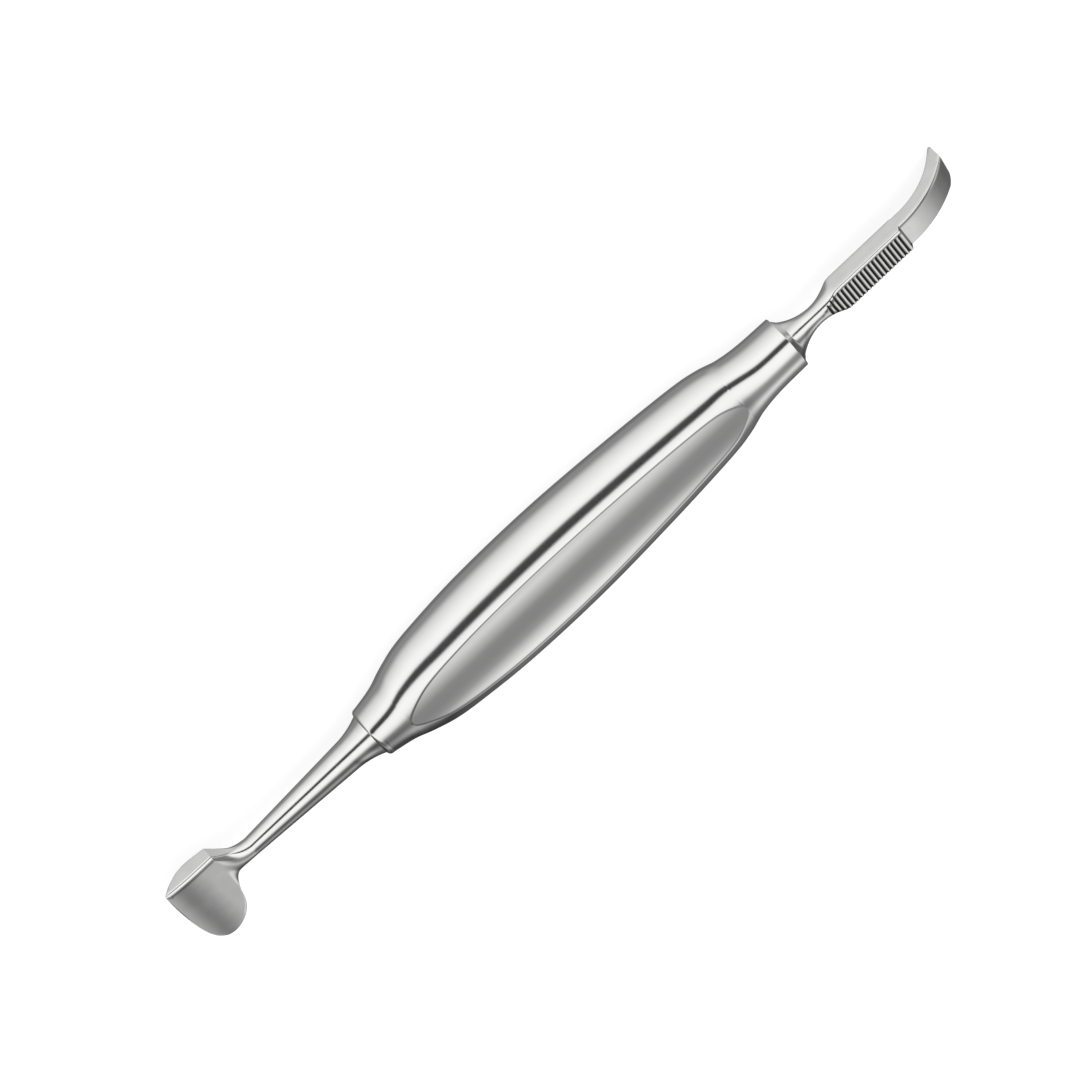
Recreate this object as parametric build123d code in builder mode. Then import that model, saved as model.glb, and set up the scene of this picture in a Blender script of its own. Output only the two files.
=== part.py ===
from build123d import *
import os
from math import asin, atan, cos, degrees, radians, sin, sqrt, tan

# Double-ended periosteal elevator in stainless steel, lying on a flat surface with a flute upward.
# The hook end points along -X and the scraper end along +X. All sizes are in millimetres and degrees.

# Lengths along the axis
handle_length = 128.4
hook_reach = 53.4
scraper_reach = 58.2

# Handle: a hollow oval grip that narrows to a round collar at each end
# Share of the length from the hook rim, half width, half height
grip_profile = (
    (0.000, 6.90, 6.90),
    (0.070, 7.20, 7.10),
    (0.115, 8.30, 7.25),
    (0.147, 9.75, 8.00),
    (0.185, 10.75, 8.90),
    (0.255, 11.75, 9.50),
    (0.360, 12.90, 10.05),
    (0.500, 14.00, 10.55),
    (0.610, 14.20, 10.70),
    (0.720, 13.80, 10.50),
    (0.810, 12.75, 9.90),
    (0.868, 11.70, 9.15),
    (0.912, 9.90, 8.10),
    (0.948, 7.85, 7.30),
    (1.000, 6.35, 6.35),
)
grip_stations = 24
hollow_first = 3
hollow_last = 22
wall = 1.2
hook_rim_rounding = 0.55
scraper_rim_rounding = 1.1

# Flutes: a straight hollow along the top and the bottom of the grip, for the thumb and finger
flute_radius = 28.0
flute_floor = 7.62

# Sockets: each working end has a round spigot that is brazed into its collar
spigot_radius = 4.5
spigot_length = 12.0
braze_gap = 0.03

# The working ends are set turned about the axis, against the flutes
end_turn = 11.0

# Hook end: round neck, flat bar with a serrated thumb rest, then a blade that curls downward
hook_cone_radius = 6.1
hook_cone_slope = 36.0
neck_radius = 2.33
neck_from_rim = 8.7
neck_sweep_in = 13.0
neck_sweep_out = 10.5
flare_radius = 4.9
bar_width = 7.9
bar_thickness = 4.9
blade_length = 17.8
back_step = 1.35
step_run = 0.7
inner_curl_start = 1.9
inner_curl_radius = 18.5
inner_curl_angle = 47.0
outer_curl_start = 0.8
outer_curl_radius = 25.0
tip_slant = 0.85
tip_rounding = 3.0
bar_edge_rounding = 1.0
bar_edge_break = 0.35

# Serrations of the thumb rest
groove_count = 20
groove_pitch = 1.17
groove_half_width = 0.40
groove_depth = 0.44
groove_overcut = 0.1
groove_to_step = 0.9
groove_land = 1.15

# Scraper end: tapered round shank that flares into the collar, and a broad blade across its tip
shank_root_radius = 3.84
shank_root_from_rim = 7.0
shank_flare_radius = 20.0
shank_tip_radius = 2.33
shank_end_from_edge = 21.6
shank_run_out_radius = 24.0
shank_run_out_turn = 15.0
plate_length = 13.8
plate_near = 8.9
plate_top = 2.25
face_bow = 36.0
face_bow_run = 7.0
edge_bow = 85.0
edge_bow_peak = 1.5
neck_sweep = 7.3
neck_web = 1.6
neck_flare_radius = 8.5
neck_flare_turn = 60.0
neck_root_inset = 0.15
far_neck_from_edge = 19.7
far_neck_turn = 55.0
near_edge_rounding = 1.3
far_edge_rounding = 0.3

# Rounded far end of the blade: how far behind the cutting edge, how far across
far_bend = (
    (0.25, -5.3),
    (1.0, -9.8),
    (2.5, -13.4),
    (6.2, -15.35),
    (9.6, -13.3),
    (11.4, -8.7),
)

# Arched lower face of the blade: how far behind the cutting edge, height
arch_points = (
    (1.24, 0.28),
    (2.85, -0.85),
    (5.1, -1.87),
    (7.7, -2.31),
    (10.6, -2.1),
    (13.8, -1.05),
)

overall_length = handle_length + hook_reach + scraper_reach
hook_rim_x = hook_reach - overall_length / 2
scraper_rim_x = hook_rim_x + handle_length
turn_cos = cos(radians(end_turn))
turn_sin = sin(radians(end_turn))
axis_line = Axis((0, 0, 0), (1, 0, 0))
hook_rim = (hook_rim_x, 0, 0)
scraper_rim = (scraper_rim_x, 0, 0)

# Edges are picked where their middles lie, this near to a face or this far clear of one
selection_margin = 0.1
selection_step = 1.0

# Planes across the handle, and side and plan views of each end measured from its rim outward
handle_start = Plane(origin=hook_rim, x_dir=(0, 1, 0), z_dir=(1, 0, 0))
hook_side = Plane(origin=hook_rim, x_dir=(-1, 0, 0), z_dir=(0, turn_cos, -turn_sin))
hook_plan = Plane(origin=hook_rim, x_dir=(-1, 0, 0), z_dir=(0, turn_sin, turn_cos))
scraper_side = Plane(origin=scraper_rim, x_dir=(1, 0, 0), z_dir=(0, -turn_cos, turn_sin))
scraper_plan = Plane(origin=scraper_rim, x_dir=(1, 0, 0), z_dir=(0, -turn_sin, -turn_cos))


def grip_size(share, column):
    """Half width (column 1) or half height (column 2) here, eased smoothly between the profile rows."""
    rows = grip_profile
    index = max(i for i in range(len(rows) - 1) if rows[i][0] <= share)
    slopes = []
    for i in (index, index + 1):
        before = rows[max(i - 1, 0)]
        after = rows[min(i + 1, len(rows) - 1)]
        slopes.append((after[column] - before[column]) / (after[0] - before[0]))
    start, end = rows[index], rows[index + 1]
    run = end[0] - start[0]
    t = (share - start[0]) / run
    size = start[column] * (1 + 2 * t) * (1 - t) ** 2 + end[column] * t**2 * (3 - 2 * t)
    return size + run * (slopes[0] * t * (1 - t) ** 2 - slopes[1] * t**2 * (1 - t))


def middle_in(plane, edge):
    """Where the middle of an edge lies in the plane's own directions."""
    return plane.to_local_coords(edge @ 0.5)


# The hollow inside the grip, a wall's thickness inside its skin
with BuildPart() as hollow:
    for station in range(hollow_first, hollow_last + 1):
        share = station / grip_stations
        with BuildSketch(handle_start.offset(share * handle_length)):
            Ellipse(grip_size(share, 1) - wall, grip_size(share, 2) - wall)
    loft()
    with BuildSketch(handle_start):
        for side in (1, -1):
            with Locations((0, side * (flute_floor + flute_radius))):
                Circle(flute_radius + wall)
    extrude(amount=handle_length, mode=Mode.SUBTRACT)

# Handle: oval skin, pressed flutes, rounded rims and a socket through each collar
with BuildPart() as handle:
    for station in range(grip_stations + 1):
        share = station / grip_stations
        with BuildSketch(handle_start.offset(share * handle_length)):
            Ellipse(grip_size(share, 1), grip_size(share, 2))
    loft()
    with BuildSketch(handle_start):
        for side in (1, -1):
            with Locations((0, side * (flute_floor + flute_radius))):
                Circle(flute_radius)
    extrude(amount=handle_length, mode=Mode.SUBTRACT)
    fillet(handle.faces().sort_by(Axis.X)[0].edges(), hook_rim_rounding)
    fillet(handle.faces().sort_by(Axis.X)[-1].edges(), scraper_rim_rounding)
    add(hollow.part, mode=Mode.SUBTRACT)
    with BuildSketch(handle_start):
        Circle(spigot_radius + braze_gap)
    extrude(amount=handle_length, mode=Mode.SUBTRACT)
handle.part.label = "handle"

# Heights and runs of the hook end
bar_top = bar_thickness / 2
blade_start = hook_reach - blade_length
blade_top = bar_top - back_step
outer_run = blade_length - outer_curl_start
outer_curl_angle = degrees(asin(outer_run / outer_curl_radius))
flare_run = sqrt(neck_sweep_out**2 - (neck_sweep_out + neck_radius - flare_radius) ** 2)

# Hook end: bar and curled blade drawn from the side, then cut to their outline from above
with BuildPart() as hook_elevator:
    with BuildSketch(hook_side.offset(-bar_width / 2)):
        with BuildLine():
            back = Line((neck_from_rim, bar_top), (blade_start - step_run, bar_top))
            step = Line(back @ 1, (blade_start, blade_top))
            land = Line(step @ 1, (blade_start + outer_curl_start, blade_top))
            outer = JernArc(land @ 1, (1, 0), outer_curl_radius, -outer_curl_angle)
            below = Line((neck_from_rim, -bar_top), (blade_start + inner_curl_start, -bar_top))
            inner = JernArc(below @ 1, (1, 0), inner_curl_radius, -inner_curl_angle)
            tip_run = hook_reach - (inner @ 1).X
            tip = inner @ 1 + Vector(tip_run, -tip_run * tan(radians(inner_curl_angle)))
            Line(inner @ 1, tip)
            Line(tip, outer @ 1)
            Line(below @ 0, back @ 0)
        make_face()
    extrude(amount=bar_width)
    with BuildSketch(hook_plan.offset(-hook_reach)):
        with BuildLine():
            Polyline(
                (0, bar_width / 2),
                (hook_reach, bar_width / 2),
                (hook_reach - tip_slant, -bar_width / 2),
                (0, -bar_width / 2),
                close=True,
            )
        make_face()
        fillet(vertices().sort_by(Axis.X)[-2], tip_rounding)
    extrude(amount=2 * hook_reach, mode=Mode.INTERSECT)

    # The back's near edge is well rounded along the bar, the other long edges only broken
    thumb_edge = [
        edge
        for edge in edges()
        if middle_in(hook_side, edge).Z < -bar_width / 2 + selection_margin
        and middle_in(hook_side, edge).Y > bar_top - selection_margin
    ]
    fillet(thumb_edge, bar_edge_rounding)
    long_edges = [
        edge
        for edge in edges()
        if abs(middle_in(hook_side, edge).Z) > bar_width / 2 - selection_margin
        and neck_from_rim + selection_step < middle_in(hook_side, edge).X < hook_reach - tip_rounding
        and edge.length > 1.5 * selection_step
    ]
    fillet(long_edges, bar_edge_break)

    # Serrations across the back of the bar, each a V-shaped groove that ends in a cone at a land
    groove_end = Plane(
        origin=hook_plan.from_local_coords(
            (blade_start - step_run - groove_to_step, bar_width / 2 - groove_land, bar_top - groove_depth)
        ),
        x_dir=hook_plan.x_dir,
        z_dir=hook_plan.z_dir,
    )
    groove_start = Plane(origin=groove_end.origin, x_dir=hook_plan.x_dir, z_dir=-hook_plan.y_dir)
    groove_places = [(-i * groove_pitch, 0) for i in range(groove_count)]
    cut_height = groove_depth + groove_overcut
    cut_half_width = groove_half_width * cut_height / groove_depth
    with BuildSketch(groove_start):
        with Locations(*groove_places):
            Polygon((0, 0), (cut_half_width, cut_height), (-cut_half_width, cut_height), align=None)
    extrude(amount=bar_width, mode=Mode.SUBTRACT)
    with Locations(groove_end):
        with Locations(*groove_places):
            Cone(0, cut_half_width, cut_height, align=(Align.CENTER, Align.CENTER, Align.MIN), mode=Mode.SUBTRACT)

    # The bar grows out of a round neck: a turned flare cuts its root
    with BuildSketch(Plane.XY):
        with BuildLine():
            neck = (hook_rim_x - neck_from_rim, neck_radius)
            bar_flare = JernArc(neck, (-1, 0), neck_sweep_out, -degrees(asin(flare_run / neck_sweep_out)))
            Polyline(
                bar_flare @ 1,
                ((bar_flare @ 1).X, hook_reach),
                (-overall_length, hook_reach),
                (-overall_length, 0),
                (hook_rim_x - neck_from_rim, 0),
                neck,
            )
        make_face()
    revolve(axis=axis_line, mode=Mode.INTERSECT)

    # The neck widens to a cone that seats on the collar's rim, with the spigot behind it
    with BuildSketch(Plane.XY):
        with BuildLine():
            neck_sweep_curve = JernArc(neck, (1, 0), neck_sweep_in, hook_cone_slope)
            Polyline(
                neck_sweep_curve @ 1,
                (hook_rim_x, hook_cone_radius),
                (hook_rim_x, spigot_radius),
                (hook_rim_x + spigot_length, spigot_radius),
                (hook_rim_x + spigot_length, 0),
                (hook_rim_x - neck_from_rim, 0),
                neck,
            )
        make_face()
    revolve(axis=axis_line)
hook_elevator.part.label = "hook_elevator"

# Heights and runs of the scraper end
web_end = scraper_reach - plate_length - neck_sweep
shank_length = scraper_reach - shank_end_from_edge
near_back = edge_bow - sqrt(edge_bow**2 - (plate_near - edge_bow_peak) ** 2)
far_back, far_side = far_bend[0]
face_turn = degrees(asin(face_bow_run / face_bow))
cone_slope = atan((shank_root_radius - shank_tip_radius) / (shank_length - shank_root_from_rim))
flare_turn = asin(shank_root_from_rim / shank_flare_radius + sin(cone_slope)) - cone_slope

# Scraper end: blade outline from above with its concave necks, cut to its side profile
with BuildPart() as scraper:
    with BuildSketch(scraper_plan.offset(-scraper_reach)):
        with BuildLine():
            near_corner = (scraper_reach - near_back, plate_near)
            far_corner = (scraper_reach - far_back, far_side)
            cutting_edge = ThreePointArc(near_corner, (scraper_reach, edge_bow_peak), far_corner)
            near_side = Line(near_corner, (scraper_reach - plate_length, plate_near))
            near_neck = JernArc(near_side @ 1, (0, -1), neck_sweep, -90)
            far_neck = JernArc(
                (scraper_reach - far_neck_from_edge, -neck_web), (1, 0), neck_sweep, -far_neck_turn
            )
            Spline(
                cutting_edge @ 1,
                *[(scraper_reach - back, across) for back, across in far_bend[1:]],
                far_neck @ 1,
                tangents=(cutting_edge % 1, -(far_neck % 1)),
            )
            Polyline(near_neck @ 1, (web_end, -neck_web), far_neck @ 0)
        make_face()
    extrude(amount=2 * scraper_reach)
    with BuildSketch(scraper_side.offset(-scraper_reach)):
        with BuildLine():
            top = Line((web_end, plate_top), (scraper_reach - face_bow_run, plate_top))
            face = JernArc(top @ 1, (1, 0), face_bow, -face_turn)
            arch = Spline(
                face @ 1,
                *[(scraper_reach - back, height) for back, height in arch_points],
                (web_end, -plate_top),
            )
            Line(arch @ 1, top @ 0)
        make_face()
    extrude(amount=2 * scraper_reach, mode=Mode.INTERSECT)

    # The face's near edge and the near neck are well rounded, the far outline only broken
    near_edges = [
        edge
        for edge in edges()
        if (
            middle_in(scraper_side, edge).Z > plate_near - selection_margin
            and middle_in(scraper_side, edge).Y > plate_top - 3 * selection_margin
        )
        or (
            middle_in(scraper_side, edge).X < scraper_reach - plate_length - selection_step
            and neck_web + selection_step < middle_in(scraper_side, edge).Z < plate_near - selection_step
        )
    ]
    fillet(near_edges, near_edge_rounding)
    far_edges = [
        edge
        for edge in edges()
        if middle_in(scraper_side, edge).Z < -neck_web - 3 * selection_margin
        and edge.length > neck_sweep - selection_step
        and edge.geom_type != GeomType.LINE
    ]
    fillet(far_edges, far_edge_rounding)

    # The blade grows out of a round shank: a turned flare cuts its root
    shank_end = (scraper_rim_x + shank_length, shank_tip_radius)
    with BuildSketch(Plane.XY):
        with BuildLine():
            root = (scraper_rim_x + shank_length, shank_tip_radius - neck_root_inset)
            neck_flare = JernArc(root, (1, 0), neck_flare_radius, neck_flare_turn)
            Polyline(
                neck_flare @ 1,
                ((neck_flare @ 1).X, scraper_reach),
                (overall_length, scraper_reach),
                (overall_length, 0),
                (scraper_rim_x + shank_length, 0),
                root,
            )
        make_face()
    revolve(axis=axis_line, mode=Mode.INTERSECT)

    # Round shank: runs out inside the blade, flares at the collar, with the spigot behind it
    with BuildSketch(Plane.XY):
        with BuildLine():
            cone = Line((scraper_rim_x + shank_root_from_rim, shank_root_radius), shank_end)
            run_out = JernArc(cone @ 1, cone % 1, shank_run_out_radius, -shank_run_out_turn)
            root_flare = JernArc(cone @ 0, (cone % 0) * -1, shank_flare_radius, -degrees(flare_turn))
            Polyline(
                root_flare @ 1,
                (scraper_rim_x, spigot_radius),
                (scraper_rim_x - spigot_length, spigot_radius),
                (scraper_rim_x - spigot_length, 0),
                ((run_out @ 1).X, 0),
                run_out @ 1,
            )
        make_face()
    revolve(axis=axis_line)
scraper.part.label = "scraper"

# Everything is raised so that the lowest point rests at height zero
lift = -hook_elevator.part.bounding_box().min.Z
handle.part.locate(Location((0, 0, lift)))
hook_elevator.part.locate(Location((0, 0, lift)))
scraper.part.locate(Location((0, 0, lift)))

os.makedirs("parts", exist_ok=True)
export_step(handle.part, "parts/handle.step")
export_step(hook_elevator.part, "parts/hook_elevator.step")
export_step(scraper.part, "parts/scraper.step")
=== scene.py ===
import bmesh
import bpy
from math import atan2, cos, hypot, pi, radians, sin, sqrt, tan
from mathutils import Matrix, Vector


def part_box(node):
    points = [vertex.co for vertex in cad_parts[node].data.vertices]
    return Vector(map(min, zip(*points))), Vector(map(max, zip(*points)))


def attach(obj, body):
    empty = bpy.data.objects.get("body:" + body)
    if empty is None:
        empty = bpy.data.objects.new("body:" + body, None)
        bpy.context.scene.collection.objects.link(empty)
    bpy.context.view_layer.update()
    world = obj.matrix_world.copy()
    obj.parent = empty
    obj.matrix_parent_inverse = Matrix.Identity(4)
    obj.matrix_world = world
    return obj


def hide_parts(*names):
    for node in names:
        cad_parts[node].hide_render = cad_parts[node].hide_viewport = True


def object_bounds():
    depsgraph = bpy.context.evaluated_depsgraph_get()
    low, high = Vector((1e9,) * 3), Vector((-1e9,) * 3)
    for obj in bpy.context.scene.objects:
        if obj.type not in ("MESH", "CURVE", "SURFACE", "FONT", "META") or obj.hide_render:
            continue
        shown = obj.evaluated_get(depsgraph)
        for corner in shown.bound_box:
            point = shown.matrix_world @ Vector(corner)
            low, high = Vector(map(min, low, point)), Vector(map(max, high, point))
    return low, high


# Looks of the double-ended periosteal elevator: polished stainless steel in a pale light tent.
# The hook end points along -X and the scraper end along +X.

MM = 0.001
MERGE_DISTANCE = 0.001 * MM
SHARP_ANGLE = radians(32)

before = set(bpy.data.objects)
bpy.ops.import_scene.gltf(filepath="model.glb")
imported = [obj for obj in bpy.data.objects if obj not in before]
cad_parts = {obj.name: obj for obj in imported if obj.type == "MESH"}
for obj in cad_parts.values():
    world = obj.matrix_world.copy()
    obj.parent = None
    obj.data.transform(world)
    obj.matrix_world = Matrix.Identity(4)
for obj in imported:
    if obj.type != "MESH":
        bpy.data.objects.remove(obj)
loaded_low, loaded_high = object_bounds()

# Places taken from the frame
handle_low, handle_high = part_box("handle")
hook_rim_x = handle_low.x
scraper_rim_x = handle_high.x
handle_length = scraper_rim_x - hook_rim_x
axis_height = (handle_low.z + handle_high.z) / 2

# Grip: share of the length from the hook rim, half width and half height in millimetres
GRIP_PROFILE = (
    (0.000, 6.90, 6.90),
    (0.070, 7.20, 7.10),
    (0.115, 8.30, 7.25),
    (0.147, 9.75, 8.00),
    (0.185, 10.75, 8.90),
    (0.255, 11.75, 9.50),
    (0.360, 12.90, 10.05),
    (0.500, 14.00, 10.55),
    (0.610, 14.20, 10.70),
    (0.720, 13.80, 10.50),
    (0.810, 12.75, 9.90),
    (0.868, 11.70, 9.15),
    (0.912, 9.90, 8.10),
    (0.948, 7.85, 7.30),
    (1.000, 6.35, 6.35),
)
GRIP_STATIONS = 320
FLUTE_RADIUS = 28.0 * MM
FLUTE_FLOOR = 7.62 * MM
CREASE_ROUNDING = 0.45 * MM
HOOK_RIM_ROUNDING = 0.3 * MM
SCRAPER_RIM_ROUNDING = 1.1 * MM
SOCKET_RADIUS = 4.53 * MM
SOCKET_DEPTH = 12.5 * MM

# Both working ends are measured in millimetres out of their collar, across and up. A rounding given as
# a pair is how far in from the edge it starts and how far it drops.
END_TURN = radians(11)
SPIGOT_RADIUS = 4.5
SPIGOT_LENGTH = 12.0

# Hook end: cone, neck, bar with its thumb rest, and the blade that curls down
CONE_RADIUS = 6.1
CONE_SLOPE = radians(36)
NECK_RADIUS = 2.33
NECK_OUT = 8.7
NECK_SWEEP_IN = 13.0
NECK_SWEEP_OUT = 10.5
NECK_SOFTNESS = 14
NECK_CHANGE = 4.0
FLARE_EASE = 2.5
FLARE_EASE_START = 0.2
BAR_SIDE = 3.95
BAR_TOP = 2.45
STEP_START = 34.9
BLADE_START = 35.6
BLADE_TOP = 1.1
BACK_CURL_START = 36.4
BACK_CURL_RADIUS = 25.0
UNDER_CURL_START = 37.5
UNDER_CURL_RADIUS = 18.5
UNDER_CURL_ANGLE = radians(47)
HOOK_REACH = 53.4
TIP_SLANT = 0.85
TIP_ROUNDING = 3.0
TIP_RUN = 4.4
THUMB_ROUNDING = (1.2, 0.7)
BLADE_ROUNDING = (1.2, 0.5)
EDGE_BREAK = 0.35
BACK_POINTS = 26
NECK_SECTIONS = 24
FLARE_SECTIONS = 14
GROOVE_SECTIONS = 7
CURL_SECTIONS = 26
TIP_SECTIONS = 18

# Grooves of the thumb rest, counted from the step back towards the collar
GROOVE_COUNT = 20
GROOVE_PITCH = 1.17
GROOVE_HALF_WIDTH = 0.40
GROOVE_DEPTH = 0.44
FIRST_GROOVE = 34.0
GROOVE_END = 2.3
GROOVE_END_RUN = 0.9

# Scraper end: shank and blade
SCRAPER_REACH = 58.2
SHANK_ROOT = 7.0
SHANK_ROOT_RADIUS = 3.84
SHANK_FLARE_RADIUS = 20.0
SHANK_END = 36.6
SHANK_TIP_RADIUS = 2.33
PLATE_LENGTH = 13.8
PLATE_NEAR = 8.9
EDGE_BOW = 85.0
EDGE_PEAK = 1.5
FACE_TOP = 2.25
FACE_BOW_RUN = 10.3
FACE_BOW_DROP = 0.687
FACE_BOW_POWER = 2.3
NEAR_ROUNDING = (1.7, 0.95)
FAR_ROUNDING = 0.6
LOW_ROUNDING = 0.3
CUTTING_ROUNDING = (0.35, 0.2)

# The most that each rounding takes of the blade's thickness
NEAR_SHARE = 0.55
FAR_SHARE = 0.45
LOW_SHARE = 0.3

# Far side of the blade from the shank's end to the cutting edge: out and across
FAR_OUTLINE = (
    (36.6, -2.33),
    (38.6, -2.30),
    (40.4, -2.28),
    (42.0, -2.42),
    (43.3, -2.88),
    (44.2, -3.95),
    (44.85, -5.45),
    (45.35, -7.2),
    (45.7, -8.90),
    (46.3, -10.7),
    (47.2, -12.4),
    (48.4, -13.8),
    (50.0, -14.9),
    (52.0, -15.40),
    (54.0, -14.95),
    (55.7, -13.35),
    (56.7, -11.5),
    (57.3, -9.4),
    (57.7, -7.3),
    (57.93, -5.3),
)
FAR_NECK_SPANS = 6

# Near neck, from the shank's end to the blade's near corner: out and across
NEAR_NECK = (
    (36.6, 2.33),
    (38.1, 2.72),
    (39.5, 3.42),
    (40.8, 4.45),
    (42.1, 5.85),
    (43.3, 7.35),
    (44.4, 8.90),
)

# Hollow underside: distance back from the cutting edge, and height over the axis
ARCH = (
    (0.0, 1.363),
    (0.6, 0.85),
    (1.24, 0.28),
    (2.0, -0.36),
    (2.85, -0.85),
    (5.1, -1.87),
    (6.4, -2.17),
    (7.7, -2.31),
    (9.1, -2.28),
    (10.6, -2.10),
    (13.8, -1.65),
    (15.4, -1.6),
    (17.4, -1.9),
    (21.6, -2.33),
)

# Share of the blade's root that is still round, and how closely its sections stand
ROUND_SHARE = 0.2
ROOT_SECTIONS = 36
PLATE_SECTIONS = 52
EDGE_SECTIONS = 10
EDGE_SHARE = 0.97

# The photograph: its side and the axis' middle in pixels, and what one frame width spans at the axis
PHOTO_SIZE = 1080
AXIS_MIDDLE = (571.0, 545.2)
FRAME_WIDTH = 242.0 * MM
CAMERA_DISTANCE = 6 * FRAME_WIDTH
CAMERA_ELEVATION = radians(52)
AXIS_SLOPE = radians(43.28)


def even(start, end, count):
    """Evenly spaced values from start to end, both included."""
    return [start + (end - start) * i / (count - 1) for i in range(count)]


def skin(name, rings):
    """Closed skin: a disc whose rim is extruded from section to section, then capped."""
    bm = bmesh.new()
    row = bmesh.ops.create_circle(bm, cap_ends=True, segments=len(rings[0]), radius=1)["verts"]
    for vert, place in zip(row, rings[0]):
        vert.co = place
    for ring in rings[1:]:
        around = zip(row, row[1:] + row[:1])
        rim = [next(e for e in a.link_edges if e.other_vert(a) is b) for a, b in around]
        made = bmesh.ops.extrude_edge_only(bm, edges=rim)["geom"]
        fresh = {v for v in made if isinstance(v, bmesh.types.BMVert)}
        row = [next(e.other_vert(v) for e in v.link_edges if e.other_vert(v) in fresh) for v in row]
        for vert, place in zip(row, ring):
            vert.co = place
    bmesh.ops.remove_doubles(bm, verts=bm.verts[:], dist=MERGE_DISTANCE)
    bmesh.ops.holes_fill(bm, edges=[e for e in bm.edges if e.is_boundary], sides=0)
    return finished(name, bm)


def finished(name, bm):
    """Object made from a bmesh: normals outward, shaded smooth except over its sharp edges."""
    bmesh.ops.recalc_face_normals(bm, faces=bm.faces[:])
    for face in bm.faces:
        face.smooth = True
    for edge in bm.edges:
        edge.smooth = len(edge.link_faces) == 2 and edge.calc_face_angle(0) < SHARP_ANGLE
    mesh = bpy.data.meshes.new(name)
    bm.to_mesh(mesh)
    bm.free()
    piece = bpy.data.objects.new(name, mesh)
    bpy.context.scene.collection.objects.link(piece)
    return piece


def weigh_normals(piece):
    """Let the large faces set the shading, so that flats look flat up to their rounded edges."""
    weighted = piece.modifiers.new("weighted_normals", "WEIGHTED_NORMAL")
    weighted.keep_sharp = True
    weighted.mode = "FACE_AREA_WITH_ANGLE"


def grip_size(share, column):
    """Half width (column 1) or half height (column 2) of the grip, eased between the profile rows."""
    rows = GRIP_PROFILE
    index = max(i for i in range(len(rows) - 1) if rows[i][0] <= share)
    slopes = []
    for i in (index, index + 1):
        before = rows[max(i - 1, 0)]
        after = rows[min(i + 1, len(rows) - 1)]
        slopes.append((after[column] - before[column]) / (after[0] - before[0]))
    start, end = rows[index], rows[index + 1]
    run = end[0] - start[0]
    t = (share - start[0]) / run
    size = start[column] * (1 + 2 * t) * (1 - t) ** 2 + end[column] * t**2 * (3 - 2 * t)
    return MM * (size + run * (slopes[0] * t * (1 - t) ** 2 - slopes[1] * t**2 * (1 - t)))


def flute_height(across):
    """Height of the flute over the axis at this place across it."""
    return FLUTE_FLOOR + FLUTE_RADIUS - sqrt(FLUTE_RADIUS**2 - across**2)


def crease_angle(width, height):
    """Angle round the oval, from its side, at which the flute cuts in, or a right angle."""
    low, high = 0.0, pi / 2
    if height <= FLUTE_FLOOR:
        return high
    for _ in range(40):
        middle = (low + high) / 2
        across = width * cos(middle)
        if height * sin(middle) > flute_height(across):
            high = middle
        else:
            low = middle
    return low


def grip_quarter(width, height):
    """Points of one quarter of the section, from the side of the oval to the middle of the flute."""
    crease = crease_angle(width, height)
    across = width * cos(crease)
    ease = min(CREASE_ROUNDING, 0.6 * across)
    before = max(crease - ease / sqrt((width * sin(crease)) ** 2 + (height * cos(crease)) ** 2), 0)
    side = [(width * cos(a), height * sin(a)) for a in even(0, before, 40)]
    flute = [(y, flute_height(y)) for y in even(across - ease, 0, 16)]
    corner = (across, height * sin(crease))
    if height <= FLUTE_FLOOR:
        flute = [corner] * len(flute)
    rounding = []
    for t in even(0, 1, 7)[1:-1]:
        ends = zip(side[-1], corner, flute[0])
        rounding.append(tuple((1 - t) ** 2 * a + 2 * t * (1 - t) * b + t**2 * c for a, b, c in ends))
    return side + rounding + flute


def grip_ring(x, width, height):
    """Whole section of the grip at this place on the axis."""
    quarter = grip_quarter(width, height)
    ring = quarter + [(-y, z) for y, z in reversed(quarter[:-1])]
    ring += [(y, -z) for y, z in reversed(ring[1:-1])]
    return [Vector((x, y, axis_height + z)) for y, z in ring]


def round_ring(x, radius):
    """Section values of a round stretch of the handle."""
    return x, radius, radius


def make_handle():
    """Hollow grip: socket, rounded rim, fluted skin, and the same at the other end."""
    hook_radius = grip_size(0, 1)
    sections = [round_ring(hook_rim_x + depth, SOCKET_RADIUS) for depth in (SOCKET_DEPTH, 0)]
    for turn in even(0, pi / 2, 8):
        x = hook_rim_x + HOOK_RIM_ROUNDING * (1 - cos(turn))
        sections.append(round_ring(x, hook_radius - HOOK_RIM_ROUNDING * (1 - sin(turn))))
    first = hook_rim_x + HOOK_RIM_ROUNDING
    last = scraper_rim_x - SCRAPER_RIM_ROUNDING
    for x in even(first, last, GRIP_STATIONS)[1:-1]:
        share = (x - hook_rim_x) / handle_length
        sections.append((x, grip_size(share, 1), grip_size(share, 2)))
    shoulder = grip_size((last - hook_rim_x) / handle_length, 1)
    for turn in even(pi / 2, 0, 10):
        x = scraper_rim_x - SCRAPER_RIM_ROUNDING * (1 - cos(turn))
        sections.append(round_ring(x, shoulder - SCRAPER_RIM_ROUNDING * (1 - sin(turn))))
    sections += [round_ring(scraper_rim_x - depth, SOCKET_RADIUS) for depth in (0, SOCKET_DEPTH)]
    handle = skin("handle_skin", [grip_ring(*section) for section in sections])
    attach(handle, "root")
    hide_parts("handle")
    return handle


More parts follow.
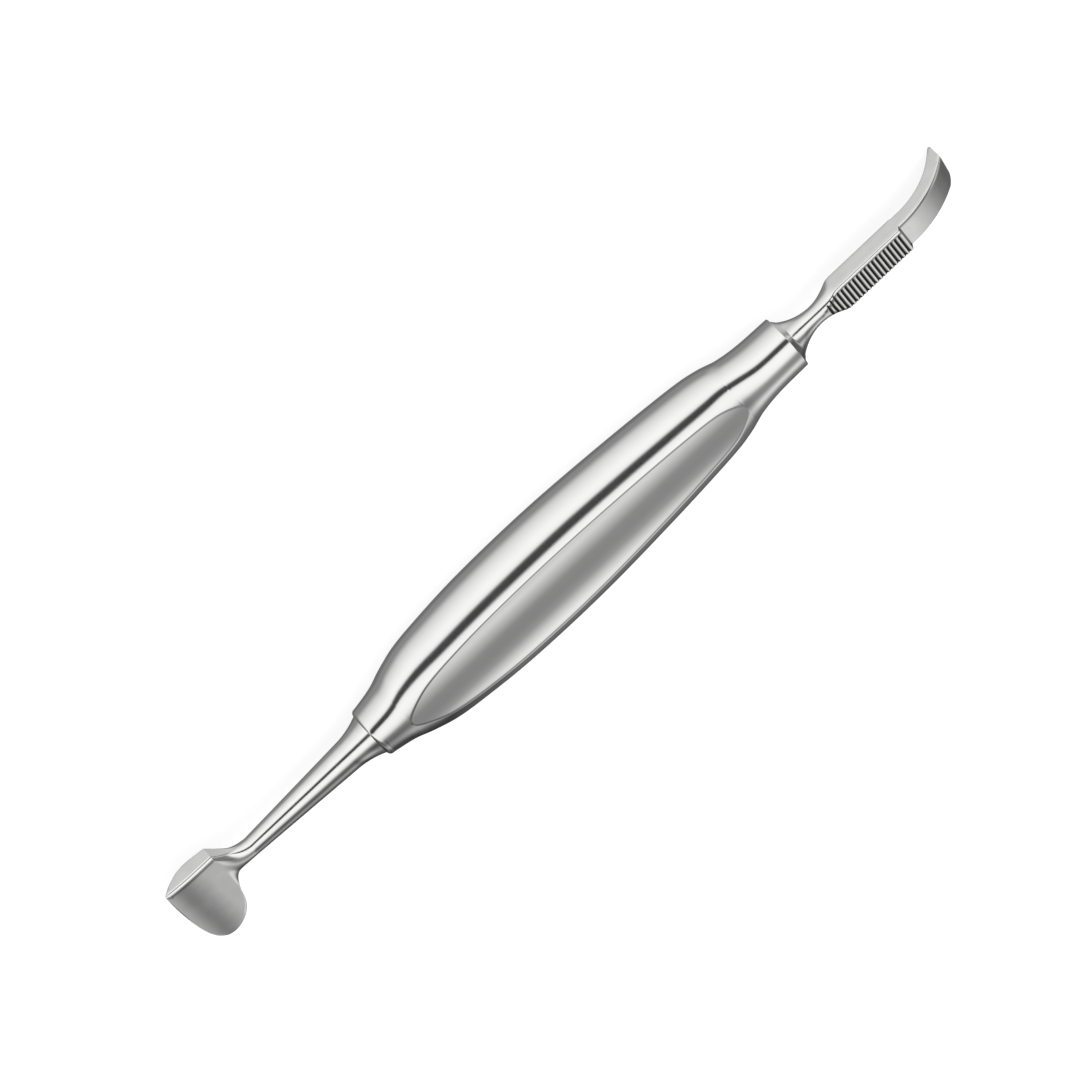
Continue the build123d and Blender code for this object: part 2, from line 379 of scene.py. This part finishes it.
def shank_radius(out):
    """Radius of the scraper's shank, in millimetres, this far out of the collar."""
    slope = atan2(SHANK_ROOT_RADIUS - SHANK_TIP_RADIUS, SHANK_END - SHANK_ROOT)
    if out >= SHANK_ROOT:
        return SHANK_ROOT_RADIUS - (out - SHANK_ROOT) * tan(slope)
    middle_out = SHANK_ROOT + SHANK_FLARE_RADIUS * sin(slope)
    middle_high = SHANK_ROOT_RADIUS + SHANK_FLARE_RADIUS * cos(slope)
    return middle_high - sqrt(SHANK_FLARE_RADIUS**2 - (middle_out - out) ** 2)


def eased(share):
    """Share of a change that starts and ends without a crease."""
    return share**3 * (10 - 15 * share + 6 * share**2)


def along(points, reach):
    """Place on a smooth curve through the points, this many points from its start."""
    spans = len(points) - 1
    index = min(int(reach), spans - 1)
    t = reach - index
    a, b = Vector(points[index]), Vector(points[index + 1])
    before = Vector(points[index - 1]) if index else 2 * a - b
    after = Vector(points[index + 2]) if index + 2 <= spans else 2 * b - a
    bend = 2 * before - 5 * a + 4 * b - after
    twist = 3 * a - before - 3 * b + after
    return 0.5 * (2 * a + (b - before) * t + bend * t**2 + twist * t**3)


def face_height(out):
    """Height of the blade's face over the axis: flat, then falling away to the cutting edge."""
    run = max(out - (SCRAPER_REACH - FACE_BOW_RUN), 0) / FACE_BOW_RUN
    edge_run, edge_drop = CUTTING_ROUNDING
    at_edge = min(max((out - SCRAPER_REACH + edge_run) / edge_run, 0), 1)
    return FACE_TOP - FACE_BOW_DROP * run**FACE_BOW_POWER - edge_drop * (1 - sqrt(1 - at_edge**2))


def arch_height(out):
    """Height of the blade's hollow underside over the axis."""
    back = SCRAPER_REACH - out
    for (start, high), (end, low) in zip(ARCH, ARCH[1:]):
        if back <= end:
            t = max(back - start, 0) / (end - start)
            return high + (low - high) * t
    return ARCH[-1][1]


def blade_section(near, far, flat, bow):
    """Section of the scraper from near to far outline: round where flat is 0, square where it is 1."""
    near, far = Vector(near), Vector(far)
    width = (far - near).length
    points = []

    def place(share):
        spot = near.lerp(far, share)
        across = spot.y - EDGE_PEAK
        bulge = SCRAPER_REACH - EDGE_BOW + sqrt(EDGE_BOW**2 - across**2)
        spot.x += bow * (bulge - spot.x)
        return spot

    def corner(share, top, start, end, count, run, drop):
        """Quarter of rounding at one end of the section, from one turn to another."""
        for turn in even(radians(start), radians(end), count):
            inset = run * (1 - abs(cos(turn))) / width
            spot = place(inset if share == 0 else 1 - inset)
            limit = face_height(spot.x) if top else arch_height(spot.x)
            lift = limit - drop * (1 - abs(sin(turn))) * (1 if top else -1)
            points.append((spot, lift))

    def side(top, start, end, count):
        """Stretch of the section's top or bottom, ends left out."""
        for share in even(start, end, count)[1:-1]:
            spot = place(share)
            points.append((spot, face_height(spot.x) if top else arch_height(spot.x)))

    thick_near = face_height(place(0).x) - arch_height(place(0).x)
    thick_far = face_height(place(1).x) - arch_height(place(1).x)
    near_run, near_drop = NEAR_ROUNDING
    near_drop = min(near_drop, NEAR_SHARE * thick_near)
    near_run *= near_drop / NEAR_ROUNDING[1]
    far_round = min(FAR_ROUNDING, FAR_SHARE * thick_far)
    low_round = min(LOW_ROUNDING, LOW_SHARE * thick_near, LOW_SHARE * thick_far)
    corner(0, True, 0, 90, 15, near_run, near_drop)
    side(True, near_run / width, 1 - far_round / width, 30)
    corner(1, True, 90, 180, 7, far_round, far_round)
    corner(1, False, 180, 270, 5, low_round, low_round)
    side(False, 1 - low_round / width, low_round / width, 30)
    corner(0, False, 270, 360, 5, low_round, low_round)
    turns = even(0, 2 * pi, len(points) + 1)[:-1]
    middle = near.lerp(far, 0.5)
    ring = []
    for turn, (spot, lift) in zip(turns, points):
        round_spot = middle + (near - far) / 2 * cos(turn)
        half = shank_radius(min(round_spot.x, SHANK_END))
        spot = round_spot.lerp(spot, flat)
        lift = half * sin(turn) * (1 - flat) + lift * flat
        ring.append(end_place(scraper_rim_x, 1, spot.x, spot.y, lift))
    return ring


def end_place(rim_x, way, out, across, lift):
    """Place on a working end: millimetres out of its collar, towards the near side, and up."""
    turned_near = Vector((0, -cos(END_TURN), sin(END_TURN)))
    turned_up = Vector((0, sin(END_TURN), cos(END_TURN)))
    on_axis = Vector((rim_x + way * out * MM, 0, axis_height))
    return on_axis + (across * turned_near + lift * turned_up) * MM


def make_scraper():
    """Scraper end: spigot, flared round shank, and the broad blade that the shank spreads into."""
    rings = []
    turned = [(SPIGOT_RADIUS, -SPIGOT_LENGTH), (SPIGOT_RADIUS, 0)]
    turned += [(shank_radius(out), out) for out in even(0, SHANK_END, 60)]
    for radius, out in turned:
        rings.append(round_section(radius, out))
    outline = []
    for share in even(0, 1, ROOT_SECTIONS)[1:]:
        near = along(NEAR_NECK, share * (len(NEAR_NECK) - 1))
        far = along(FAR_OUTLINE, share * FAR_NECK_SPANS)
        flat = eased(max(share - ROUND_SHARE, 0) / (1 - ROUND_SHARE))
        outline.append((near, far, flat, 0))
    corner = SCRAPER_REACH - EDGE_BOW + sqrt(EDGE_BOW**2 - (PLATE_NEAR - EDGE_PEAK) ** 2)
    plate_spans = len(FAR_OUTLINE) - 1 - FAR_NECK_SPANS
    for share in even(0, EDGE_SHARE, PLATE_SECTIONS)[1:] + even(EDGE_SHARE, 1, EDGE_SECTIONS)[1:]:
        out = SCRAPER_REACH - PLATE_LENGTH + share * (corner - SCRAPER_REACH + PLATE_LENGTH)
        far = along(FAR_OUTLINE, FAR_NECK_SPANS + share * plate_spans)
        outline.append(((out, PLATE_NEAR), far, 1, share**3))
    rings += [blade_section(*section) for section in outline]
    piece = skin("scraper_skin", rings)
    weigh_normals(piece)
    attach(piece, "root")
    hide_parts("scraper")
    return piece


def round_section(radius, out):
    """Section of the scraper's turned stretch, with its points spread as the blade's are."""
    count = len(blade_section((SHANK_END, 1), (SHANK_END, -1), 0, 0))
    return [
        end_place(scraper_rim_x, 1, out, radius * cos(turn), radius * sin(turn))
        for turn in even(0, 2 * pi, count + 1)[:-1]
    ]


def neck_radius(out):
    """Radius, this far out of the collar, of the hook end's cone, its neck and the bar's flare."""
    if out <= 0:
        return SPIGOT_RADIUS
    sweep_end = NECK_OUT - NECK_SWEEP_IN * sin(CONE_SLOPE)
    if out < sweep_end:
        swept = NECK_RADIUS + NECK_SWEEP_IN * (1 - cos(CONE_SLOPE))
        return CONE_RADIUS + (swept - CONE_RADIUS) * out / sweep_end
    sweep = NECK_SWEEP_IN if out < NECK_OUT else NECK_SWEEP_OUT
    return NECK_RADIUS + sweep - sqrt(sweep**2 - min(abs(out - NECK_OUT), sweep) ** 2)


def back_height(out):
    """Height of the hook's back over the axis: thumb rest, step, land and curl."""
    if out < BLADE_START:
        return BAR_TOP + max(out - STEP_START, 0) / (BLADE_START - STEP_START) * (BLADE_TOP - BAR_TOP)
    return BLADE_TOP - BACK_CURL_RADIUS + sqrt(BACK_CURL_RADIUS**2 - max(out - BACK_CURL_START, 0) ** 2)


def under_height(out):
    """Height of the hook's underside over the axis: flat, curled, then straight to the tip."""
    past = max(out - UNDER_CURL_START, 0)
    curled = min(past, UNDER_CURL_RADIUS * sin(UNDER_CURL_ANGLE))
    drop = UNDER_CURL_RADIUS - sqrt(UNDER_CURL_RADIUS**2 - curled**2)
    return -BAR_TOP - drop - (past - curled) * tan(UNDER_CURL_ANGLE)


def tip_out(across):
    """How far out the blade's end lies at this place across it: slanted, its far corner rounded."""
    slant = TIP_SLANT / (2 * BAR_SIDE)
    middle = TIP_ROUNDING - BAR_SIDE
    middle_out = HOOK_REACH - slant * (BAR_SIDE - middle) - TIP_ROUNDING * sqrt(1 + slant**2)
    if across > middle - TIP_ROUNDING * slant / sqrt(1 + slant**2):
        return HOOK_REACH - slant * (BAR_SIDE - across)
    return middle_out + sqrt(max(TIP_ROUNDING**2 - (middle - across) ** 2, 0))


def tip_under(out, across):
    """Height of the underside over the axis, with the blade's end rounded into it."""
    end_out = tip_out(across)
    corner = under_height(end_out)
    fall = atan2(under_height(end_out - 0.1) - corner, 0.1)
    touch = EDGE_BREAK * tan(pi / 4 + fall / 2)
    if end_out - out >= touch * cos(fall):
        return under_height(out)
    return corner + touch - sqrt(max(EDGE_BREAK**2 - (EDGE_BREAK - end_out + out) ** 2, 0))


def groove_wall(out, across):
    """Height over the axis of the nearest groove's walls, which run out towards the near side."""
    index = min(max(round((FIRST_GROOVE - out) / GROOVE_PITCH), 0), GROOVE_COUNT - 1)
    aside = (out - FIRST_GROOVE + index * GROOVE_PITCH) / GROOVE_HALF_WIDTH
    past_end = max(across - GROOVE_END, 0) / GROOVE_END_RUN
    return BAR_TOP - GROOVE_DEPTH * (1 - hypot(aside, past_end))


def edge_row(near_run, near_drop):
    """Back or underside of the hook across its width: places across and how far the edges drop."""
    inner = BAR_SIDE - near_run
    run = inner + BAR_SIDE - EDGE_BREAK
    row = [(inner + near_run * cos(a), near_drop * (1 - sin(a))) for a in even(0, pi / 2, 13)]
    row += [(inner - run * (1 - cos(a)) / 2, 0) for a in even(0, pi, BACK_POINTS)[1:-1]]
    far = EDGE_BREAK - BAR_SIDE
    row += [(far - EDGE_BREAK * sin(a), EDGE_BREAK * (1 - cos(a))) for a in even(0, pi / 2, 9)]
    return row


def hook_section(out, tip_share=0, spread=0.25, closed=False):
    """One section of the hook; its points run on towards the slanted end by the tip share."""
    roundings = (BLADE_ROUNDING, BLADE_ROUNDING)
    if out < BLADE_START:
        roundings = (THUMB_ROUNDING, (EDGE_BREAK, EDGE_BREAK))
    rows = []
    for top, rounding in zip((True, False), roundings):
        row = []
        for across, drop in edge_row(*rounding):
            place_out = out + tip_share * (tip_out(across) - out)
            back, under = back_height(place_out), tip_under(place_out, across)
            if closed:
                lift = (back + under) / 2
            elif top:
                lift = back - drop
            else:
                lift = under + drop
            row.append((place_out, across, lift))
        rows.append(row)
    back, under = rows

    def side(index):
        """Three points down one side of the section."""
        top, bottom = Vector(back[index]), Vector(under[index])
        return [top.lerp(bottom, 0.5 + k * spread) for k in (-1, 0, 1)]

    points = back + side(-1) + under[::-1] + side(0)[::-1]
    start = atan2(points[0][2], points[0][1])
    turns = even(start, start + 2 * pi, len(points) + 1)
    return [hook_place(*point, turn) for point, turn in zip(points, turns)]


def hook_place(out, across, lift, turn):
    """Place on the hook end: the bar's section drawn in to the round neck and cut by the grooves."""
    squared = eased(min(max((out - NECK_OUT) / NECK_CHANGE, 0), 1))
    if squared < 1:
        size = min(BAR_SIDE / max(abs(cos(turn)), 0.01), BAR_TOP / max(abs(sin(turn)), 0.01))
        even_place = Vector((size * cos(turn), size * sin(turn)))
        across, lift = even_place.lerp(Vector((across, lift)), squared)
    size = hypot(across, lift)
    radius = neck_radius(out)
    if out < NECK_OUT + NECK_SWEEP_OUT:
        if out > NECK_OUT - 1:
            reach = size * (2 - eased(min(max((out - NECK_OUT) / FLARE_EASE + FLARE_EASE_START, 0), 1)))
            radius = reach / (1 + (reach / radius) ** NECK_SOFTNESS) ** (1 / NECK_SOFTNESS)
        across, lift = across * radius / size, lift * radius / size
    if out > NECK_OUT:
        lift = min(lift, groove_wall(out, across))
    return end_place(hook_rim_x, -1, out, across, lift)


def make_hook():
    """Hook end: spigot, cone and round neck, bar with grooved thumb rest, and curled blade."""
    first_groove_start = FIRST_GROOVE - (GROOVE_COUNT - 1) * GROOVE_PITCH - GROOVE_HALF_WIDTH
    outs = even(0.001, NECK_OUT - NECK_SWEEP_IN * sin(CONE_SLOPE), 3)
    outs += even(outs[-1], NECK_OUT, NECK_SECTIONS)[1:]
    outs += even(NECK_OUT, first_groove_start, FLARE_SECTIONS)[1:-1]
    for index in reversed(range(GROOVE_COUNT)):
        middle = FIRST_GROOVE - index * GROOVE_PITCH
        outs += even(middle - GROOVE_HALF_WIDTH, middle + GROOVE_HALF_WIDTH, GROOVE_SECTIONS)
    outs += [STEP_START, BLADE_START] + even(BACK_CURL_START, HOOK_REACH - TIP_RUN, CURL_SECTIONS)
    rings = [hook_section(-SPIGOT_LENGTH), hook_section(0)]
    rings += [hook_section(out) for out in outs]
    last = outs[-1]
    rings += [hook_section(last, tip_share=1 - share**2) for share in even(1, 0, TIP_SECTIONS)[1:-1]]
    rings.append(hook_section(last, tip_share=1, spread=0.5))
    rings.append(hook_section(last, tip_share=1, spread=0.5, closed=True))
    piece = skin("hook_skin", rings)
    weigh_normals(piece)
    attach(piece, "root")
    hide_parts("hook_elevator")
    return piece


# Materials

STEEL = (0.66, 0.66, 0.655)
STEEL_LINE_ROUGHNESS = 0.05
STEEL_CLOUD_ROUGHNESS = 0.04
SCRATCH_ROUGHNESS = 0.3
POLISH_HEIGHT = 0.02 * MM

# Hairlines: turn about the vertical in degrees and size, for each of three sets
SCRATCH_SETS = (
    (12, 420.0),
    (-31, 560.0),
    (64, 480.0),
)
SCRATCH_THINNESS = 0.74
SCRATCH_PATCHES = 0.58

GROOVE_SHADE = (0.06, 0.06, 0.06)
GROOVE_SHADE_SHARE = 0.9
GROOVE_SHADE_CORE = 0.12
STEP_SHADE_SHARE = 0.6

FLOOR_DARK = (0.42, 0.42, 0.42)
FLOOR_LIGHT = (0.44, 0.44, 0.44)
FLOOR_GLOW = 1.8


def new_group(name, inputs, outputs):
    """Empty node group with these named sockets: name, kind and, for an input, its value."""
    group = bpy.data.node_groups.new(name, "ShaderNodeTree")
    for label, kind, value in inputs:
        socket = group.interface.new_socket(label, in_out="INPUT", socket_type=kind)
        if value is not None:
            socket.default_value = value
    for label, kind in outputs:
        group.interface.new_socket(label, in_out="OUTPUT", socket_type=kind)
    return group, group.nodes.new("NodeGroupInput"), group.nodes.new("NodeGroupOutput")


def maths(tree, operation, first, second=None, third=None):
    """Maths node; each value is a socket or a number."""
    node = tree.nodes.new("ShaderNodeMath")
    node.operation = operation
    for socket, value in zip(node.inputs, (first, second, third)):
        if isinstance(value, bpy.types.NodeSocket):
            tree.links.new(value, socket)
        elif value is not None:
            socket.default_value = value
    return node.outputs[0]


def product(tree, first, *others):
    """All the values multiplied together."""
    for value in others:
        first = maths(tree, "MULTIPLY", first, value)
    return first


def within(tree, value, low, high):
    """One where the value lies between the two limits, else zero."""
    return product(tree, maths(tree, "GREATER_THAN", value, low), maths(tree, "LESS_THAN", value, high))


def eased_step(tree, value, start, end):
    """Zero at the start, one at the end and eased between them."""
    node = tree.nodes.new("ShaderNodeMapRange")
    node.interpolation_type = "SMOOTHSTEP"
    tree.links.new(value, node.inputs["Value"])
    node.inputs["From Min"].default_value = start
    node.inputs["From Max"].default_value = end
    return node.outputs[0]


def mixed(tree, factor, first, second):
    """Mix of two colours, each a socket or three numbers."""
    node = tree.nodes.new("ShaderNodeMix")
    node.data_type = "RGBA"
    tree.links.new(factor, node.inputs["Factor"])
    for socket, colour in zip((node.inputs["A"], node.inputs["B"]), (first, second)):
        if isinstance(colour, bpy.types.NodeSocket):
            tree.links.new(colour, socket)
        else:
            socket.default_value = (*colour, 1)
    return node.outputs["Result"]


def stretched(tree, position, stretch):
    """Position scaled by three numbers or by a vector socket."""
    node = tree.nodes.new("ShaderNodeVectorMath")
    node.operation = "MULTIPLY"
    tree.links.new(position, node.inputs[0])
    if isinstance(stretch, bpy.types.NodeSocket):
        tree.links.new(stretch, node.inputs[1])
    else:
        node.inputs[1].default_value = stretch
    return node.outputs[0]


def noise(tree, position, scale, detail):
    """Noise value at the position."""
    node = tree.nodes.new("ShaderNodeTexNoise")
    tree.links.new(position, node.inputs["Vector"])
    node.inputs["Scale"].default_value = scale
    node.inputs["Detail"].default_value = detail
    return node.outputs["Fac"]


def make_polish_group():
    """Fine lines left by polishing along the object, as a value and as a bumped normal."""
    group, given, made = new_group(
        "polish_lines",
        (
            ("Position", "NodeSocketVector", None),
            ("Lines per metre", "NodeSocketVector", (60.0, 5200.0, 5200.0)),
            ("Depth", "NodeSocketFloat", 0.1),
        ),
        (("Lines", "NodeSocketFloat"), ("Normal", "NodeSocketVector")),
    )
    place = stretched(group, given.outputs["Position"], given.outputs["Lines per metre"])
    lines = noise(group, place, 1.0, 3.0)
    bump = group.nodes.new("ShaderNodeBump")
    bump.inputs["Distance"].default_value = POLISH_HEIGHT
    group.links.new(given.outputs["Depth"], bump.inputs["Strength"])
    group.links.new(lines, bump.inputs["Height"])
    group.links.new(lines, made.inputs["Lines"])
    group.links.new(bump.outputs["Normal"], made.inputs["Normal"])
    return group


def make_scratch_group():
    """Sparse short hairline scratches as a mask."""
    group, given, made = new_group(
        "hairline_scratches",
        (("Position", "NodeSocketVector", None), ("Amount", "NodeSocketFloat", 0.5)),
        (("Mask", "NodeSocketFloat"),),
    )
    total = None
    for turn, size in SCRATCH_SETS:
        rotate = group.nodes.new("ShaderNodeVectorRotate")
        rotate.rotation_type = "EULER_XYZ"
        rotate.inputs["Rotation"].default_value = [radians(turn / part) for part in (2, 3, 1)]
        group.links.new(given.outputs["Position"], rotate.inputs["Vector"])
        place = stretched(group, rotate.outputs[0], (size * 0.22, size * 9.0, size * 9.0))
        lines = noise(group, place, 1.0, 1.0)
        patches = noise(group, rotate.outputs[0], size * 0.6, 1.0)
        thin = maths(group, "GREATER_THAN", lines, SCRATCH_THINNESS)
        here = maths(group, "GREATER_THAN", patches, SCRATCH_PATCHES)
        mask = product(group, thin, here)
        total = mask if total is None else maths(group, "MAXIMUM", total, mask)
    group.links.new(product(group, total, given.outputs["Amount"]), made.inputs["Mask"])
    return group


def make_steel(name, groups, roughness, line_depth, scratch_amount, cloud_scale, cloud_tone):
    """Polished stainless steel with fine polishing lines, faint clouding and hairline scratches."""
    polish_group, scratch_group = groups
    material = bpy.data.materials.new(name)
    material.use_nodes = True
    tree = material.node_tree
    shader = tree.nodes["Principled BSDF"]
    place = tree.nodes.new("ShaderNodeTexCoord").outputs["Object"]
    polish = tree.nodes.new("ShaderNodeGroup")
    polish.node_tree = polish_group
    polish.inputs["Depth"].default_value = line_depth
    tree.links.new(place, polish.inputs["Position"])
    scratches = tree.nodes.new("ShaderNodeGroup")
    scratches.node_tree = scratch_group
    scratches.inputs["Amount"].default_value = scratch_amount
    tree.links.new(place, scratches.inputs["Position"])
    clouds = noise(tree, place, cloud_scale, 4.0)
    dull, bright = ([c * share for c in STEEL] for share in (1 - cloud_tone, 1 + cloud_tone))
    tree.links.new(mixed(tree, clouds, dull, bright), shader.inputs["Base Color"])
    smoothest = roughness - STEEL_LINE_ROUGHNESS / 2
    rough = maths(tree, "MULTIPLY_ADD", polish.outputs["Lines"], STEEL_LINE_ROUGHNESS, smoothest)
    rough = maths(tree, "MULTIPLY_ADD", clouds, STEEL_CLOUD_ROUGHNESS, rough)
    rough = maths(tree, "MULTIPLY_ADD", scratches.outputs["Mask"], SCRATCH_ROUGHNESS, rough)
    tree.links.new(rough, shader.inputs["Roughness"])
    tree.links.new(polish.outputs["Normal"], shader.inputs["Normal"])
    shader.inputs["Metallic"].default_value = 1.0
    return material


def shade_grooves(material):
    """Darken the thumb rest's grooves and the step after them, which little light gets into."""
    tree = material.node_tree
    shader = tree.nodes["Principled BSDF"]
    turn = tree.nodes.new("ShaderNodeVectorRotate")
    turn.rotation_type = "X_AXIS"
    turn.inputs["Center"].default_value = (hook_rim_x, 0, axis_height)
    turn.inputs["Angle"].default_value = END_TURN
    tree.links.new(tree.nodes["Texture Coordinate"].outputs["Object"], turn.inputs["Vector"])
    parts = tree.nodes.new("ShaderNodeSeparateXYZ")
    tree.links.new(turn.outputs[0], parts.inputs[0])
    x, y, z = parts.outputs
    first_end = FIRST_GROOVE + GROOVE_HALF_WIDTH
    last_end = FIRST_GROOVE - (GROOVE_COUNT - 1) * GROOVE_PITCH - GROOVE_HALF_WIDTH
    top = axis_height + BAR_TOP * MM
    from_first = maths(tree, "SUBTRACT", x, hook_rim_x - FIRST_GROOVE * MM)
    from_groove = maths(tree, "PINGPONG", from_first, GROOVE_PITCH / 2 * MM)
    off_sides = maths(tree, "LESS_THAN", maths(tree, "ABSOLUTE", y), (BAR_SIDE - 0.04) * MM)
    grooves = product(
        tree,
        eased_step(tree, from_groove, GROOVE_HALF_WIDTH * MM, GROOVE_SHADE_CORE * MM),
        GROOVE_SHADE_SHARE,
        within(tree, x, hook_rim_x - first_end * MM, hook_rim_x - last_end * MM),
        within(tree, z, top - (GROOVE_DEPTH + 0.03) * MM, top - 0.01 * MM),
        off_sides,
        maths(tree, "GREATER_THAN", y, -(GROOVE_END + GROOVE_END_RUN) * MM),
    )
    step = product(
        tree,
        off_sides,
        STEP_SHADE_SHARE,
        within(tree, x, hook_rim_x - BLADE_START * MM, hook_rim_x - STEP_START * MM),
        within(tree, z, axis_height + (BLADE_TOP + 0.02) * MM, top - 0.02 * MM),
    )
    steel = shader.inputs["Base Color"].links[0].from_socket
    shaded = mixed(tree, maths(tree, "MAXIMUM", grooves, step), steel, GROOVE_SHADE)
    tree.links.new(shaded, shader.inputs["Base Color"])


def make_floor():
    """Plain pale floor, with a barely visible mottle."""
    bm = bmesh.new()
    bmesh.ops.create_grid(bm, x_segments=1, y_segments=1, size=3.0)
    mesh = bpy.data.meshes.new("floor")
    bm.to_mesh(mesh)
    bm.free()
    floor = bpy.data.objects.new("floor", mesh)
    bpy.context.scene.collection.objects.link(floor)
    floor.visible_glossy = False
    material = bpy.data.materials.new("pale_floor")
    material.use_nodes = True
    tree = material.node_tree
    place = tree.nodes.new("ShaderNodeTexCoord").outputs["Object"]
    tone = mixed(tree, noise(tree, place, 4.0, 2.0), FLOOR_DARK, FLOOR_LIGHT)
    shader = tree.nodes["Principled BSDF"]
    tree.links.new(tone, shader.inputs["Base Color"])
    tree.links.new(tone, shader.inputs["Emission Color"])
    shader.inputs["Emission Strength"].default_value = FLOOR_GLOW
    shader.inputs["Roughness"].default_value = 0.9
    shader.inputs["Specular IOR Level"].default_value = 0.1
    mesh.materials.append(material)
    return floor


# Light tent: brightness of the surroundings by the angle about the object's length, in degrees
# from the near horizon over the top and on round
TENT = (
    (-125, 0.20),
    (-98, 0.20),
    (-82, 0.27),
    (-72, 0.36),
    (-58, 0.35),
    (-48, 0.45),
    (-38, 0.70),
    (-28, 0.93),
    (-8, 1.16),
    (12, 1.34),
    (24, 1.40),
    (31, 1.36),
    (37, 1.22),
    (41.5, 0.08),
    (57, 0.04),
    (61, 1.30),
    (75, 1.40),
    (92, 1.34),
    (100, 1.24),
    (107, 0.82),
    (113, 0.44),
    (121, 0.35),
    (132, 0.37),
    (142, 0.70),
    (152, 1.03),
    (162, 0.82),
    (172, 0.42),
    (182, 0.22),
    (192, 0.22),
    (205, 0.15),
    (235, 0.14),
)
TENT_START = -125

# Share of the brightness that is left behind the object, by the angle sideways
SIDE_FLAG_FROM = (85, 130)
SIDE_FLAG = (
    (-90, 0.50),
    (-42, 0.80),
    (-37, 0.52),
    (-31, 0.52),
    (-23, 0.72),
    (-15, 0.84),
    (-7, 1.0),
    (2.7, 1.0),
    (3.6, 0.63),
    (5, 0.58),
    (6, 0.49),
    (7.4, 0.37),
    (9, 0.28),
    (10.6, 0.25),
    (12.4, 0.37),
    (14.3, 0.58),
    (17, 0.64),
    (24, 0.60),
    (32, 0.30),
    (90, 0.30),
)

# What is added to the brightness under the near side, by the angle sideways
LOW_LIGHT_FROM = (-30, -60)
LOW_LIGHT = (
    (-90, 0.0),
    (-75, 0.0),
    (-60, 0.45),
    (-47, 0.50),
    (-35, 0.35),
    (-22, 0.0),
    (90, 0.0),
)


def ramp_of(tree, value, low, high, stops):
    """Brightness looked up from a list of stops, each a place and a brightness up to two."""
    node = tree.nodes.new("ShaderNodeValToRGB")
    ramp = node.color_ramp
    ramp.interpolation = "LINEAR"
    while len(ramp.elements) < len(stops):
        ramp.elements.new(0.5)
    reach = high - low
    for element, (place, _) in zip(ramp.elements, stops):
        element.position = (place - low) / reach
    for element, (_, bright) in zip(ramp.elements, stops):
        element.color = (bright / 2, bright / 2, bright / 2, 1)
    tree.links.new(maths(tree, "MULTIPLY_ADD", value, 1 / reach, -low / reach), node.inputs[0])
    return maths(tree, "MULTIPLY", node.outputs["Color"], 2.0)


def make_tent():
    """Surroundings whose brightness runs in long bands beside the object."""
    world = bpy.data.worlds.new("light_tent")
    bpy.context.scene.world = world
    world.use_nodes = True
    tree = world.node_tree
    direction = tree.nodes.new("ShaderNodeTexCoord").outputs["Generated"]
    parts = tree.nodes.new("ShaderNodeSeparateXYZ")
    tree.links.new(direction, parts.inputs[0])
    x, y, z = parts.outputs
    over = maths(tree, "ARCTAN2", z, maths(tree, "MULTIPLY", y, -1.0))
    over = maths(tree, "MULTIPLY", over, 180 / pi)
    full_turn = maths(tree, "MULTIPLY", maths(tree, "LESS_THAN", over, TENT_START), 360.0)
    wrapped = maths(tree, "ADD", over, full_turn)
    side = maths(tree, "MULTIPLY", maths(tree, "ARCSINE", x), 180 / pi)
    bands = ramp_of(tree, wrapped, TENT_START, TENT_START + 360, TENT)
    flag = ramp_of(tree, side, -90, 90, SIDE_FLAG)
    low_light = ramp_of(tree, side, -90, 90, LOW_LIGHT)
    below = eased_step(tree, wrapped, *LOW_LIGHT_FROM)
    bands = maths(tree, "MULTIPLY_ADD", low_light, below, bands)
    behind = eased_step(tree, wrapped, *SIDE_FLAG_FROM)
    shade = maths(tree, "ADD", 1.0, product(tree, behind, maths(tree, "SUBTRACT", flag, 1.0)))
    background = tree.nodes["Background"]
    tree.links.new(product(tree, bands, shade), background.inputs["Color"])
    background.inputs["Strength"].default_value = 1.0


def make_camera():
    """Camera at the photograph's viewing angle, rolled so that the axis slopes across the picture."""
    back = Vector((0, -cos(CAMERA_ELEVATION), sin(CAMERA_ELEVATION)))
    raised = Vector((0, sin(CAMERA_ELEVATION), cos(CAMERA_ELEVATION)))
    lengthwise = Vector((1, 0, 0))
    right = -cos(AXIS_SLOPE) * lengthwise + sin(AXIS_SLOPE) * raised
    up = -sin(AXIS_SLOPE) * lengthwise - cos(AXIS_SLOPE) * raised
    step = FRAME_WIDTH / PHOTO_SIZE
    middle = Vector(((loaded_low.x + loaded_high.x) / 2, 0, axis_height))
    beside, below = (place - PHOTO_SIZE / 2 for place in AXIS_MIDDLE)
    target = middle - right * beside * step + up * below * step
    data = bpy.data.cameras.new("camera")
    data.type = "PERSP"
    data.sensor_width = 36
    data.lens = 36 * CAMERA_DISTANCE / FRAME_WIDTH
    data.clip_end = 20
    camera = bpy.data.objects.new("camera", data)
    bpy.context.scene.collection.objects.link(camera)
    turn = Matrix((right, up, back)).transposed()
    camera.matrix_world = Matrix.Translation(target + back * CAMERA_DISTANCE) @ turn.to_4x4()
    bpy.context.scene.camera = camera


handle = make_handle()
hook = make_hook()
scraper = make_scraper()

groups = make_polish_group(), make_scratch_group()
# Roughness, depth of the polishing lines, amount of hairlines, scale and strength of the clouding
handle.data.materials.append(make_steel("handle_steel", groups, 0.11, 0.05, 0.2, 90.0, 0.04))
hook.data.materials.append(make_steel("hook_steel", groups, 0.12, 0.08, 0.25, 260.0, 0.10))
scraper.data.materials.append(make_steel("scraper_steel", groups, 0.12, 0.08, 0.25, 260.0, 0.10))
shade_grooves(hook.data.materials[0])

make_floor()
make_tent()
make_camera()
bpy.context.scene.view_settings.view_transform = "Standard"
